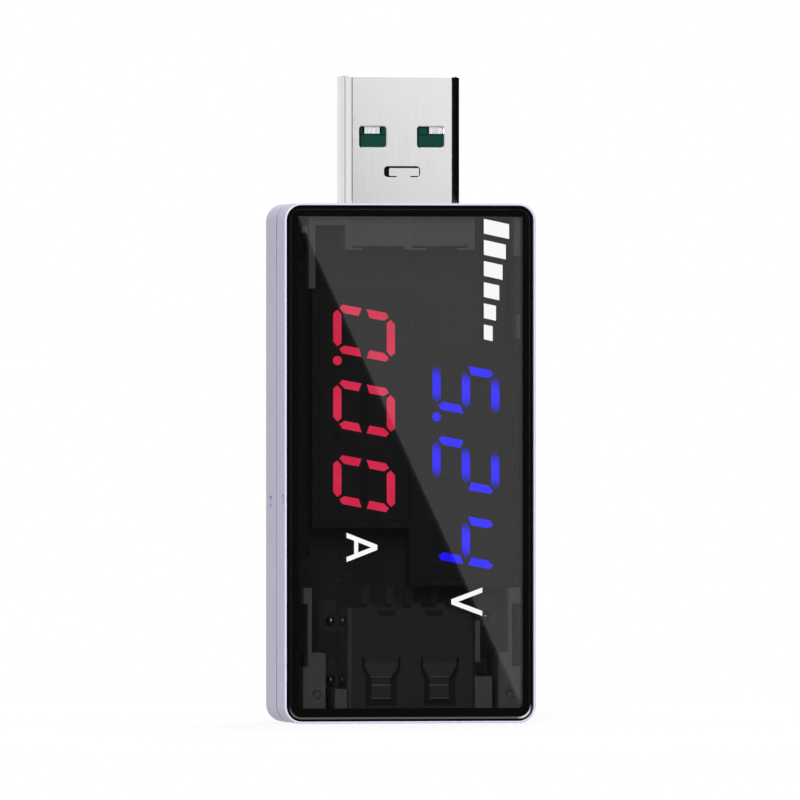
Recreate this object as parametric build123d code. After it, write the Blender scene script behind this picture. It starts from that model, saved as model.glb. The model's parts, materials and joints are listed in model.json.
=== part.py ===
"""USB power meter: a plug-through voltage and current meter with two three-digit LED readouts.

Frame: millimetres, +Z up. The body stands on its socket end, with the origin at the centre of that end.
The readouts and the tinted window face -Y, and the plug points up along +Z.
Two shells hold one circuit board. The board carries the plug, the socket, both displays and the chips.
"""
from build123d import *
import math
import os

# ---------------------------------------------------------------- driving dimensions
BODY_W = 25.8             # X
BODY_T = 12.0             # Y
BODY_H = 52.6             # Z
CORNER_R = 1.75           # corners of the outline seen from the front
WALL = 1.35
REAR_WALL = 1.2
FRONT_SHARE = 4.8         # thickness of the front frame, from the front face to the seam
RIM = 0.2                 # white rim round the window
GAP = 0.05                # assembly clearance on each side
SEAM_W = 0.4              # shadow gap between the two shells, seen from outside
SEAM_IN = 0.6             # depth of the shadow gap

LENS_T = 1.0
LENS_EDGE_R = 0.38
ADHESIVE_T = 0.15
BOARD_T = 1.2
DISPLAY_T = 6.1
SHEET = 0.3               # sheet metal of plug and socket shells

PLUG_W = 12.1             # standard plug, outside
PLUG_T = 4.5
PLUG_OUT = 13.0           # length outside the body
PLUG_IN = 4.0             # length inside the body
PLUG_DEPTH = 4.8          # from the body's front face to the plug's front face
PLUG_R = 0.95

SOCKET_W = 13.1           # standard receptacle shell, outside
SOCKET_T = 5.72
SOCKET_L = 11.7
SOCKET_X = 0.3            # the socket sits slightly off centre
SOCKET_DEPTH = 1.6        # from the body's front face to the socket shell's front wall

CONTACT_XS = {"vbus": 3.5, "data_minus": 1.0, "data_plus": -1.0, "ground": -3.5}

# ---------------------------------------------------------------- worked-out planes
FRONT_Y = -BODY_T / 2
REAR_Y = BODY_T / 2
SEAM_Y = FRONT_Y + FRONT_SHARE
LENS_BACK_Y = FRONT_Y + LENS_T
LEDGE_Y = LENS_BACK_Y + ADHESIVE_T
CAVITY_W = BODY_W - 2 * WALL
CAVITY_BACK_Y = REAR_Y - REAR_WALL
MID_Z = BODY_H / 2
LIP_T = 0.55              # the rear shell's lip, which nests inside the front frame
LIP_H = 0.95

BOARD_Y = 1.95            # the board's front surface
BOARD_BACK_Y = BOARD_Y + BOARD_T
BOARD_W = CAVITY_W - 0.6
BOARD_Z0 = WALL + 0.35
BOARD_Z1 = BODY_H - WALL - 0.35
FACE_Y = BOARD_Y - DISPLAY_T

PLUG_Y0 = FRONT_Y + PLUG_DEPTH
PLUG_Y1 = PLUG_Y0 + PLUG_T
PLUG_Z0 = BODY_H - PLUG_IN
PLUG_Z1 = BODY_H + PLUG_OUT
NOTCH_Z = PLUG_Z0 - 0.5   # bottom of the board's notch for the plug
SOCKET_Y0 = FRONT_Y + SOCKET_DEPTH
SOCKET_Y1 = SOCKET_Y0 + SOCKET_T

PARTS = {}


# ---------------------------------------------------------------- small tools
def block(x0, x1, y0, y1, z0, z1):
    """Box between two corners."""
    centre = ((x0 + x1) / 2, (y0 + y1) / 2, (z0 + z1) / 2)
    return Pos(*centre) * Box(abs(x1 - x0), abs(y1 - y0), abs(z1 - z0))


def span_x(side, a, b):
    """Low and high X of a feature that reaches from a to b on the left (-1) or right (+1)."""
    return sorted((side * a, side * b))


def prism_y(sketch, y0, y1):
    """Extrudes a sketch, drawn with X across and Z up, from y0 back to y1."""
    plane = Plane(origin=(0, y1, 0), x_dir=(1, 0, 0), z_dir=(0, -1, 0))
    return extrude(plane * sketch, amount=y1 - y0, dir=(0, -1, 0))


def prism_x(sketch, x0, x1):
    """Extrudes a sketch, drawn with Y across and Z up, from x0 to x1."""
    plane = Plane(origin=(x0, 0, 0), x_dir=(0, 1, 0), z_dir=(1, 0, 0))
    return extrude(plane * sketch, amount=x1 - x0, dir=(1, 0, 0))


def prism_z(sketch, z0, z1):
    """Extrudes a sketch, drawn with X across and Y up, from z0 to z1."""
    return extrude(Plane.XY.offset(z0) * sketch, amount=z1 - z0, dir=(0, 0, 1))


def outline(inset, radius):
    """The body's rounded outline, moved inwards by inset."""
    return Pos(0, MID_Z) * RectangleRounded(BODY_W - 2 * inset, BODY_H - 2 * inset, radius)


def round_pin_y(x, z, radius, y0, y1):
    """Round bar along Y."""
    return prism_y(Pos(x, z) * Circle(radius), y0, y1)


def ribbon(points, thickness, x0, x1):
    """Bent sheet strip: a centreline in (y, z), given a thickness and a width along X."""
    left, right = [], []
    for i, (y, z) in enumerate(points):
        before = points[max(i - 1, 0)]
        after = points[min(i + 1, len(points) - 1)]
        ahead = Vector(after[0] - before[0], after[1] - before[1]).normalized()
        side = Vector(-ahead.Y, ahead.X) * (thickness / 2)
        left.append((y + side.X, z + side.Y))
        right.append((y - side.X, z - side.Y))
    return prism_x(Polygon(*left, *reversed(right), align=None), x0, x1)


def keep(name, shape, label_parts=1):
    """Checks the number of solids and records a sub-part under its node name."""
    solids = shape.solids()
    if len(solids) != label_parts:
        raise ValueError(f"{name} has {len(solids)} solids, and {label_parts} were expected")
    PARTS[name] = solids[0] if label_parts == 1 else Compound(children=list(solids))


# ---------------------------------------------------------------- openings that both shells share
def plug_opening():
    return block(-PLUG_W / 2 - GAP, PLUG_W / 2 + GAP, PLUG_Y0 - GAP, PLUG_Y1 + GAP, MID_Z, BODY_H + 1)


def socket_opening():
    half = SOCKET_W / 2 + GAP
    return block(SOCKET_X - half, SOCKET_X + half, SOCKET_Y0 - GAP, SOCKET_Y1 + GAP, -1, WALL + 1)


# Snap barbs on the rear lip: (side, z of the middle). Each drops into a pocket in the front frame.
SNAPS = [(-1, 40.0), (1, 40.0), (-1, 13.0), (1, 13.0)]
SNAP_LEN = 3.0
SNAP_PROUD = 0.18


def snap_barb(side, z, extra=0.0):
    """Wedge-shaped barb on the lip's outer face, or, with extra, the pocket that it drops into."""
    face = CAVITY_W / 2 + LIP_T
    mid_y = SEAM_Y - LIP_H * 0.55
    reach = SNAP_PROUD + extra
    profile = [(face - 0.1, mid_y - 0.3 - extra), (face, mid_y - 0.3 - extra),
               (face + reach, mid_y - 0.05), (face + reach, mid_y + 0.1),
               (face, mid_y + 0.25 + extra), (face - 0.1, mid_y + 0.25 + extra)]
    points = [(side * x, y) for x, y in profile]
    half = SNAP_LEN / 2 + extra
    return prism_z(Polygon(*points, align=None), z - half, z + half)


def pry_dimple(y, z, length, height, depth):
    """Shallow oval dimple in the left side of the body, with its long axis along Y."""
    oval = Pos(y, z) * Ellipse(length / 2, height / 2)
    return prism_x(oval, -BODY_W / 2 - 1, -BODY_W / 2 + depth)


# ---------------------------------------------------------------- housing
def front_frame():
    """Front shell: the rim, the ledge for the window, and ribs that hold the board and plug."""
    body = prism_y(outline(0, CORNER_R), FRONT_Y, SEAM_Y)
    front_edges = body.edges().group_by(Axis.Y)[0]
    body = fillet(front_edges, 0.1)
    seam_edges = body.edges().group_by(Axis.Y)[-1]
    body = chamfer(seam_edges, 0.06)
    body -= prism_y(outline(RIM, CORNER_R - RIM), FRONT_Y - 1, LEDGE_Y)
    body -= prism_y(outline(WALL, CORNER_R - WALL), FRONT_Y, SEAM_Y + 1)
    body += board_clamps() + plug_bridge() + inner_ribs()
    lip_track = outline(WALL - LIP_T - GAP, CORNER_R - WALL + LIP_T) - outline(WALL + GAP, CORNER_R - WALL)
    body -= prism_y(lip_track, SEAM_Y - LIP_H - GAP, SEAM_Y + 1)
    body -= prism_y(outline(0, CORNER_R) - outline(WALL + GAP, CORNER_R - WALL), SEAM_Y, REAR_Y)
    body -= [snap_barb(side, z, extra=GAP) for side, z in SNAPS]
    body -= ejector_marks()
    body -= plug_opening()
    body -= socket_opening()
    body -= pry_dimple(FRONT_Y + 1.0, MID_Z - 3.6, 1.5, 0.95, 0.09)
    return body


ROOT = 0.3                # how far a rib runs into the wall that carries it
CLAMP_Y = LEDGE_Y + 0.1   # front of the board clamps
CLAMPS = {-1: (8.5, 9.9), 1: (9.3, 10.5)}     # side: inner and outer X of the round-topped post
CLAMP_TOP = 5.7
CLAMP_FACE = 10.75        # outer X of the clamp's front part; on the left it stops short of the wall
SET_BACK = {-1: 0.9, 1: 0.0}                  # how far behind its front the clamp joins the wall
HOOKS = {-1: (9.9, 10.75), 1: (10.3, CAVITY_W / 2)}   # side: inner and outer X of the hook over the clamp
HOOK_Z = (12.1, 13.7)
HOOK_T = 2.0


def board_clamps():
    """Columns at the socket end. They reach back to the board and clamp it."""
    wall = CAVITY_W / 2
    foot_y = BOARD_Y - GAP
    mid_y = SEAM_Y - LIP_H - 0.1
    hook_y = CLAMP_Y + HOOK_T
    floor = WALL - ROOT
    shapes = []
    for side, (inner, outer) in CLAMPS.items():
        shapes.append(block(*span_x(side, inner, CLAMP_FACE), CLAMP_Y, mid_y, floor, CLAMP_TOP))
        join_y = CLAMP_Y + SET_BACK[side]
        shapes.append(block(*span_x(side, inner, wall + ROOT), join_y, mid_y, floor, CLAMP_TOP))
        shapes.append(block(*span_x(side, inner, wall - 0.1), CLAMP_Y, foot_y, WALL + 0.02, CLAMP_TOP))
        head = Pos(side * (inner + outer) / 2, CLAMP_TOP + 0.3) * RectangleRounded(outer - inner, 2.3, 0.35)
        shapes.append(prism_y(head, CLAMP_Y, foot_y))
        hook_in, hook_out = HOOKS[side]
        shapes.append(block(*span_x(side, hook_in, hook_in + 0.4), CLAMP_Y, hook_y, CLAMP_TOP - 0.7, 12.5))
        shapes.append(block(*span_x(side, hook_in, hook_out), CLAMP_Y, hook_y, *HOOK_Z))
        shapes.append(block(*span_x(side, hook_in, wall + ROOT), CLAMP_Y + 0.9, hook_y, *HOOK_Z))
    half = SOCKET_W / 2 + GAP
    left, right = SOCKET_X - half, SOCKET_X + half
    front, back = CLAMP_Y + 0.1, 1.0
    shapes.append(block(left - 1.2, left, front, back, floor, 3.45))
    shapes.append(block(right, right + 1.75, front, back, floor, 4.7))
    rail = right + 0.08
    shapes.append(block(rail, rail + 0.5, CLAMP_Y + 0.5, 0.2, 6.15, 10.35))
    shapes.append(block(rail, rail + 0.5, -2.0, 0.2, 4.5, 6.3))
    return shapes


BRIDGE_Z = 48.45          # bottom of the bridge's plate
BRIDGE_Y = FRONT_Y + 2.0
BRIDGE_LEGS = (-6.0, 0.1, 6.55)
LEG_HALF = 0.38


def plug_bridge():
    """Bridge over the plug's inner end, which presses the plug back into the rear shell."""
    top = BODY_H - WALL + ROOT
    front = BRIDGE_Y - 0.3
    shapes = [block(-6.3, 6.9, BRIDGE_Y, BRIDGE_Y + 0.8, BRIDGE_Z, top)]
    shapes.append(block(-5.6, 5.7, BRIDGE_Y - 0.12, BRIDGE_Y + 0.2, BRIDGE_Z - 0.15, BRIDGE_Z + 0.15))
    for x in BRIDGE_LEGS:
        shapes.append(block(x - LEG_HALF, x + LEG_HALF, front, PLUG_Y0 - GAP, BRIDGE_Z - 0.4, top))
        foot_z = (BRIDGE_Z - 0.45, BRIDGE_Z + 0.15)
        shapes.append(block(x - LEG_HALF, x + LEG_HALF, front, BRIDGE_Y + 0.6, *foot_z))
    for low, high in ((-6.38, -4.6), (0.1, 1.9), (5.2, 6.93)):
        shapes.append(block(low, high, front, BRIDGE_Y + 0.6, BRIDGE_Z - 0.55, BRIDGE_Z - 0.35))
    return shapes


def inner_ribs():
    """Stiffening ribs along the inside of the walls, all joined to a wall."""
    wall = CAVITY_W / 2
    top = BODY_H - WALL + ROOT
    y0 = LEDGE_Y + 0.35
    corner_rib = (-10.15, -9.5)
    shapes = [
        block(*corner_rib, y0, y0 + 1.6, 44.0, top),
        block(-wall - ROOT, corner_rib[1] - 0.1, y0 + 0.6, y0 + 1.6, 49.6, 50.3),
        block(corner_rib[0], -5.9, y0, y0 + 1.1, 50.4, top),
    ]
    # Pads on the side walls: side, how far each stands off the wall, bottom and top.
    pads = [(1, 0.65, 47.3, top), (1, 0.35, 38.9, 41.4), (-1, 0.5, 38.4, 41.2), (-1, 0.5, 47.9, 49.4)]
    for side, proud, z0, z1 in pads:
        shapes.append(block(*span_x(side, wall - proud, wall + ROOT), y0, y0 + 2.2, z0, z1))
    return shapes


def ejector_marks():
    """Round witness marks of the mould's ejector pins, on the two board clamps."""
    y = LEDGE_Y + 0.1
    rings = []
    for x in (-9.35, 10.45):
        ring = Circle(0.46) - Circle(0.32)
        rings.append(prism_y(Pos(x, 2.9) * ring, y - 0.5, y + 0.45))
    return rings


def rear_shell():
    """Rear shell: a tray with a lip, posts under the board and a cradle under the plug."""
    body = prism_y(outline(0, CORNER_R), SEAM_Y + SEAM_W, REAR_Y)
    body = fillet(body.edges().group_by(Axis.Y)[-1], 0.8)
    body = chamfer(body.edges().group_by(Axis.Y)[0], 0.12)
    body += prism_y(outline(SEAM_IN, CORNER_R - SEAM_IN), SEAM_Y, SEAM_Y + SEAM_W + 0.3)
    lip = prism_y(outline(WALL - LIP_T, CORNER_R - WALL + LIP_T), SEAM_Y - LIP_H, SEAM_Y + 0.5)
    body += lip
    body += [snap_barb(side, z) for side, z in SNAPS]
    body -= prism_y(outline(WALL, CORNER_R - WALL), SEAM_Y - LIP_H - 1, CAVITY_BACK_Y)
    for x, z in BOARD_POSTS:
        body += round_pin_y(x, z, 1.1, BOARD_BACK_Y, CAVITY_BACK_Y + 0.3)
        body += round_pin_y(x, z, POST_TIP_R, BOARD_Y + 0.35, CAVITY_BACK_Y + 0.3)
    for x in (-4.0, 4.0):
        body += block(x - 0.4, x + 0.4, PLUG_Y1 + GAP, CAVITY_BACK_Y + 0.3, 48.7, BODY_H - WALL + 0.3)
    body -= plug_opening()
    body -= socket_opening()
    body -= pry_dimple(2.45, MID_Z - 3.9, 2.1, 1.2, 0.14)
    body -= pry_dimple(2.45, MID_Z - 3.95, 1.0, 0.5, 0.5)
    return body


# Posts that locate the board: their tips enter holes in it.
BOARD_POSTS = [(-9.6, 17.2), (9.6, 42.5), (-9.6, 47.5), (9.9, 13.3)]
POST_TIP_R = 0.5
POST_HOLE_R = 0.6


def window_lens():
    """Smoked window, let into the front frame with its front edge rounded."""
    lens = prism_y(outline(RIM + GAP, CORNER_R - RIM - GAP), FRONT_Y, LENS_BACK_Y)
    return fillet(lens.edges().group_by(Axis.Y)[0], LENS_EDGE_R)


def window_adhesive():
    """Black die-cut adhesive frame between the window and its ledge."""
    ring = outline(RIM + GAP, CORNER_R - RIM - GAP) - outline(WALL, CORNER_R - WALL)
    return prism_y(ring, LENS_BACK_Y, LEDGE_Y)


# ---------------------------------------------------------------- displays
DISPLAYS = {
    # name: centre x, centre z, case width, case length, digit height between centrelines, digits
    "current": (-4.43, 31.85, 9.15, 22.7, 5.5, "0.00"),
    "voltage": (6.04, 26.1, 10.05, 22.9, 6.05, "5.24"),
}
DIGIT_PITCH = 7.62
DIGIT_W = 4.1             # between centrelines
SLANT = math.tan(math.radians(10.5))
STROKE = 0.84
SEGMENT_GAP = 0.2         # from a corner of the digit to the segment's tip
MIDDLE_CUT = 0.26         # from the middle bar's centreline to the outer edge of an upright segment
CUT_SLANT = 0.3
SEGMENT_DEPTH = 1.0
SEGMENT_PROUD = 0.02
POINT_R = 0.46
LIT = {"0": "abcdef", "2": "abdeg", "4": "bcfg", "5": "acdfg"}


def digit_place(display, index, u, v):
    """A digit's slanted (u, v) as (x, z). The readout is read with the plug to the left."""
    centre_x, centre_z = DISPLAYS[display][:2]
    along = (index - 1) * DIGIT_PITCH + u + v * SLANT
    return centre_x + v, centre_z - along


def segment_sketch(display, index, letter):
    """Outline of one segment: a six-sided bar, or an upright cut at a slant beside the middle bar."""
    half_w, half_h = DIGIT_W / 2, DISPLAYS[display][4] / 2
    half = STROKE / 2
    tip, shoulder = SEGMENT_GAP, SEGMENT_GAP + half
    if letter in "adg":
        v = {"a": half_h, "g": 0.0, "d": -half_h}[letter]
        corners = [(tip - half_w, v), (shoulder - half_w, v + half), (half_w - shoulder, v + half),
                   (half_w - tip, v), (half_w - shoulder, v - half), (shoulder - half_w, v - half)]
    else:
        right = 1 if letter in "bc" else -1
        up = 1 if letter in "bf" else -1
        corners = [(half_w + half, MIDDLE_CUT), (half_w + half, half_h - shoulder + 0.12),
                   (half_w, half_h - tip), (half_w - half, half_h - shoulder - 0.1),
                   (half_w - half, MIDDLE_CUT + CUT_SLANT)]
        corners = [(right * u, up * v) for u, v in corners]
    return Polygon(*[digit_place(display, index, u, v) for u, v in corners], align=None)


def point_sketch(display, index):
    """Decimal point to the right of a digit's foot."""
    x, z = digit_place(display, index, DIGIT_W / 2 + 1.24, -DISPLAYS[display][4] / 2)
    return Pos(x, z) * Circle(POINT_R)


def display_segments(display):
    """The lit and the dark segments and points of a display, as two lists of solids."""
    lit, dark = [], []
    y0, y1 = FACE_Y - SEGMENT_PROUD, FACE_Y + SEGMENT_DEPTH
    digits = [c for c in DISPLAYS[display][5] if c != "."]
    for index, digit in enumerate(digits):
        for letter in "abcdefg":
            shape = prism_y(segment_sketch(display, index, letter), y0, y1)
            (lit if letter in LIT[digit] else dark).append(shape)
        shape = prism_y(point_sketch(display, index), y0, y1)
        (lit if index == 0 else dark).append(shape)
    return lit, dark


def display_case(display, segments):
    """Black reflector case with a pocket for each segment."""
    x, z, width, length = DISPLAYS[display][:4]
    case = prism_y(Pos(x, z) * RectangleRounded(width, length, 0.25), FACE_Y, BOARD_Y)
    return case - segments


def display_pins(display):
    """Two rows of six flat pins that pass through the board."""
    x, z = DISPLAYS[display][:2]
    pins = []
    for side in (-1, 1):
        for i in range(PINS_PER_ROW):
            px, pz = pin_place(x, z, side, i)
            pins.append(block(px - 0.15, px + 0.15, BOARD_Y, BOARD_BACK_Y + 1.1, pz - 0.25, pz + 0.25))
    return pins


PINS_PER_ROW = 6
PIN_PITCH = 2.54
PIN_ROW_X = 3.8
PIN_HOLE_R = 0.4


def pin_place(x, z, side, index):
    return x + side * PIN_ROW_X, z + (index - (PINS_PER_ROW - 1) / 2) * PIN_PITCH


def display_holder():
    """Plastic frame that surrounds both displays and keeps them square to the window."""
    band = 0.72
    front = FACE_Y - 0.25
    outer = holes = None
    for x, z, width, length in (d[:4] for d in DISPLAYS.values()):
        width_out = min(width / 2 + GAP + band, CAVITY_W / 2 - 0.05 - x)
        left = x - width / 2 - GAP - band
        right = x + width_out
        around = Pos((left + right) / 2, z) * Rectangle(right - left, length + 2 * (GAP + band))
        window = Pos(x, z) * RectangleRounded(width + 2 * GAP, length + 2 * GAP, 0.3)
        outer = around if outer is None else outer + around
        holes = window if holes is None else holes + window
    return prism_y(outer - holes, front, front + 2.4)


# ---------------------------------------------------------------- circuit board and chips
def circuit_board():
    board = block(-BOARD_W / 2, BOARD_W / 2, BOARD_Y, BOARD_BACK_Y, BOARD_Z0, BOARD_Z1)
    board -= block(-PLUG_W / 2 - 0.1, PLUG_W / 2 + 0.1, 0, 5, NOTCH_Z, BODY_H)
    holes = [round_pin_y(x, z, POST_HOLE_R, 0, 5) for x, z in BOARD_POSTS]
    for x, z in (d[:2] for d in DISPLAYS.values()):
        for side in (-1, 1):
            for i in range(PINS_PER_ROW):
                holes.append(round_pin_y(*pin_place(x, z, side, i), PIN_HOLE_R, 0, 5))
    return board - holes


def gull_leads(x_in, x_out, z, width, thickness=0.15, rise=0.5):
    """Gull-wing lead on the board's back, from a chip's flank at x_in to its foot's end at x_out."""
    base = BOARD_BACK_Y
    knee = x_in + (x_out - x_in) * 0.45
    step = math.copysign(thickness, x_out - x_in)
    points = [(x_in, base + rise), (x_in, base + rise + thickness), (knee + step, base + rise + thickness),
              (knee + step, base + thickness), (x_out, base + thickness), (x_out, base), (knee, base),
              (knee, base + rise)]
    return prism_z(Polygon(*points, align=None), z - width / 2, z + width / 2)


CHIP = (-4.43, 31.85, 4.4, 6.5)      # the microcontroller: centre x, centre z, width, length
CHIP_LEADS_PER_SIDE = 10


def microcontroller():
    x, z, width, length = CHIP
    y0, y1 = BOARD_BACK_Y + 0.1, BOARD_BACK_Y + 1.1
    body = block(x - width / 2, x + width / 2, y0, y1, z - length / 2, z + length / 2)
    body = chamfer(body.edges().filter_by(Axis.Y), 0.12)
    return body - round_pin_y(x - 1.6, z + 2.6, 0.35, y1 - 0.1, y1 + 1)


def microcontroller_leads():
    x, z, width = CHIP[:3]
    leads = []
    for side in (-1, 1):
        for i in range(CHIP_LEADS_PER_SIDE):
            lead_z = z + (i - (CHIP_LEADS_PER_SIDE - 1) / 2) * 0.65
            leads.append(gull_leads(x + side * width / 2, x + side * 3.2, lead_z, 0.25))
    return leads


REGULATOR = (6.04, 25.5)


def voltage_regulator():
    x, z = REGULATOR
    body = block(x - 2.25, x + 2.25, BOARD_BACK_Y + 0.02, BOARD_BACK_Y + 1.4, z - 1.25, z + 1.25)
    return chamfer(body.edges().group_by(Axis.Y)[-1], 0.2)


def regulator_leads():
    x, z = REGULATOR
    y = BOARD_BACK_Y
    leads = [block(x + dx - 0.22, x + dx + 0.22, y, y + 0.4, z - 2.2, z - 1.25) for dx in (-1.5, 0, 1.5)]
    leads.append(block(x - 0.8, x + 0.8, y, y + 0.4, z + 1.25, z + 1.9))
    return leads


def end_capped_chip(x, z, length, width, height):
    """A chip part lying on the board's back along X, as its body and its two end caps."""
    cap = min(0.3, length / 4)
    y0, y1 = BOARD_BACK_Y, BOARD_BACK_Y + height
    body = block(x - length / 2 + cap, x + length / 2 - cap, y0, y1, z - width / 2, z + width / 2)
    caps = [block(x - length / 2, x - length / 2 + cap, y0, y1, z - width / 2, z + width / 2),
            block(x + length / 2 - cap, x + length / 2, y0, y1, z - width / 2, z + width / 2)]
    return body, caps


SHUNT = (0.3, 14.3, 6.4, 3.2, 0.6)
RESISTORS = [(x, z, 1.6, 0.8, 0.45) for z in (43.2, 45.0) for x in (-7.2, -4.4, -1.6, 1.2, 4.0)]
CAPACITORS = [(6.0, 37.3, 2.0, 1.25, 0.9), (6.0, 39.6, 2.0, 1.25, 0.9), (-4.4, 24.2, 2.0, 1.25, 0.9)]


def chip_group(places):
    """Bodies and end caps of several chip parts."""
    bodies, caps = [], []
    for place in places:
        body, ends = end_capped_chip(*place)
        bodies.append(body)
        caps += ends
    return bodies, caps


# ---------------------------------------------------------------- plug
WINDOW_X = 2.98           # latch windows in the plug's shell
WINDOW_W = 2.72
WINDOW_H = 2.1
WINDOW_Z = PLUG_Z1 - 6.2
WINDOW_BEVEL = 0.1
LOCK_Z = PLUG_Z1 - 9.73   # lanced tab below the latch windows
PLUG_BASE_Z = PLUG_Z1 - 9.0
TONGUE_T = 1.95
CONTACT_W = 1.0
CONTACT_T = 0.3
STRIP_Y = PLUG_Y0 + SHEET + TONGUE_T - 0.2    # front of the contact strips
ANCHOR_Y = PLUG_Y0 + SHEET + 0.35             # front of the anchor tabs seen in the latch windows
ANCHOR_Z0 = PLUG_Z1 - 5.86
ANCHOR_Z1 = PLUG_Z1 - 4.8
ANCHOR_W = 1.56
ANCHORS = {-3.5: -2.98, 3.5: 3.68}            # contact x: its anchor tab's middle x
SHADOW_SLOT = 1.5                             # depth of the moulding's relief slots beside tabs and windows


def plug_section(inset):
    mid = (PLUG_Y0 + PLUG_Y1) / 2
    return Pos(0, mid) * RectangleRounded(PLUG_W - 2 * inset, PLUG_T - 2 * inset, PLUG_R - inset)


def plug_shell():
    """Folded sheet shell with latch windows on both faces, a lanced lock tab and two solder wings."""
    shell = prism_z(plug_section(0), PLUG_Z0, PLUG_Z1)
    shell = chamfer(shell.edges().group_by(Axis.Z)[-1], 0.12)
    shell -= prism_z(plug_section(SHEET), PLUG_Z0 - 1, PLUG_Z1 + 1)
    for x in (-WINDOW_X, WINDOW_X):
        window = Pos(x, WINDOW_Z) * RectangleRounded(WINDOW_W, WINDOW_H, 0.28)
        shell -= prism_y(window, PLUG_Y0 - 1, PLUG_Y1 + 1)
    for face in (PLUG_Y0, PLUG_Y1):
        edges = shell.edges().filter_by_position(Axis.Y, face - 0.01, face + 0.01)
        edges = edges.filter_by_position(Axis.Z, WINDOW_Z - WINDOW_H, WINDOW_Z + WINDOW_H)
        shell = chamfer(edges.filter_by_position(Axis.X, -PLUG_W / 2 + 1.2, PLUG_W / 2 - 1.2), WINDOW_BEVEL)
    slot = Pos(0, LOCK_Z) * RectangleRounded(3.73, 1.12, 0.4)
    shell -= prism_y(slot, PLUG_Y0 - 1, PLUG_Y0 + SHEET + 0.1)
    shell += lock_tab()
    shell -= block(-0.03, 0.03, PLUG_Y1 - SHEET - 0.1, PLUG_Y1 + 1, PLUG_Z0 - 1, PLUG_Z1 + 1)
    for side in (-1, 1):
        z0, z1 = PLUG_Z0 + 0.5, PLUG_Z0 + 2.0
        flank, tip = PLUG_W / 2 - SHEET, PLUG_W / 2 + 1.7
        shell += block(side * flank, side * PLUG_W / 2, PLUG_Y0 + 2, BOARD_BACK_Y + SHEET, z0, z1)
        shell += block(side * flank, side * tip, BOARD_BACK_Y, BOARD_BACK_Y + SHEET, z0, z1)
    return shell


def lock_tab():
    """Tab in the lock's slot, a little behind the face. It joins the shell behind the slot's bottom edge."""
    inside = PLUG_Y0 + SHEET
    tab = prism_y(Pos(0.22, LOCK_Z - 0.04) * RectangleRounded(3.08, 0.8, 0.12), PLUG_Y0 + 0.07, inside + 0.1)
    return tab + block(-0.5, 0.9, inside - 0.02, inside + 0.25, LOCK_Z - 0.68, LOCK_Z + 0.2)


def plug_contact(x):
    """Flat contact strip, its tail on the board's back and, on the outer two, the anchor tab."""
    y0, y1 = STRIP_Y, STRIP_Y + CONTACT_T
    half = CONTACT_W / 2
    outer = x in ANCHORS
    tip_z = PLUG_Z1 - (1.1 if outer else 2.1)
    contact = block(x - half, x + half, y0, y1, PLUG_Z0 - 0.4, tip_z)
    tail_back = BOARD_BACK_Y + CONTACT_T
    contact += block(x - half, x + half, y0, tail_back, PLUG_Z0 - 0.4, PLUG_Z0 - 0.1)
    contact += block(x - 0.35, x + 0.35, BOARD_BACK_Y, tail_back, PLUG_Z0 - 2.2, PLUG_Z0 - 0.1)
    if outer:
        low, high = ANCHORS[x] - ANCHOR_W / 2, ANCHORS[x] + ANCHOR_W / 2
        contact += block(low, high, ANCHOR_Y, ANCHOR_Y + 0.25, ANCHOR_Z0, ANCHOR_Z1)
        contact += block(max(x - half, low), min(x + half, high), ANCHOR_Y, y1, ANCHOR_Z1 - 0.3, ANCHOR_Z1)
    return contact


def plug_insulator(contacts):
    """Green moulding: a full-height base, and a tongue that fills the front half of the shell."""
    y0 = PLUG_Y0 + SHEET
    half = PLUG_W / 2 - SHEET - 0.15
    base = prism_z(plug_section(SHEET), PLUG_Z0, PLUG_BASE_Z)
    tongue = block(-half, half, y0, y0 + TONGUE_T, PLUG_BASE_Z - 0.5, PLUG_Z1 - 0.35)
    tongue = chamfer(tongue.edges().group_by(Axis.Z)[-1], 0.2)
    moulding = (base + tongue) & prism_z(plug_section(SHEET), PLUG_Z0, PLUG_Z1)
    face_y = y0 + 0.12
    bottom, top = WINDOW_Z - WINDOW_H / 2, WINDOW_Z + WINDOW_H / 2
    relief = y0 + SHADOW_SLOT
    for x in (-WINDOW_X, WINDOW_X):
        low, high = x - WINDOW_W / 2 - 0.05, x + WINDOW_W / 2 + 0.05
        moulding -= block(low, high, y0 - 1, ANCHOR_Y, ANCHOR_Z0, top + 0.3)
        lead_in = [(y0 - 1, ANCHOR_Z0 + 0.1), (y0 - 1, bottom + 0.05), (face_y, bottom + 0.05),
                   (face_y, ANCHOR_Z0 - 0.2), (ANCHOR_Y, ANCHOR_Z0), (ANCHOR_Y, ANCHOR_Z0 + 0.1)]
        moulding -= prism_x(Polygon(*lead_in, align=None), low, high)
        moulding -= block(low - 0.1, low + 0.2, y0 - 1, relief, bottom, top + 0.3)
        moulding -= block(low, high, y0 - 1, relief, top - 0.05, top + 0.3)
    for middle in ANCHORS.values():
        half = ANCHOR_W / 2 + 0.18
        moulding -= block(middle - half, middle + half, y0 - 1, relief, ANCHOR_Z0, ANCHOR_Z1 + 0.1)
    moulding -= block(-2.1, 2.1, y0 - 1, y0 + 0.8, LOCK_Z - 0.7, LOCK_Z + 0.7)
    return moulding - contacts


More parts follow.
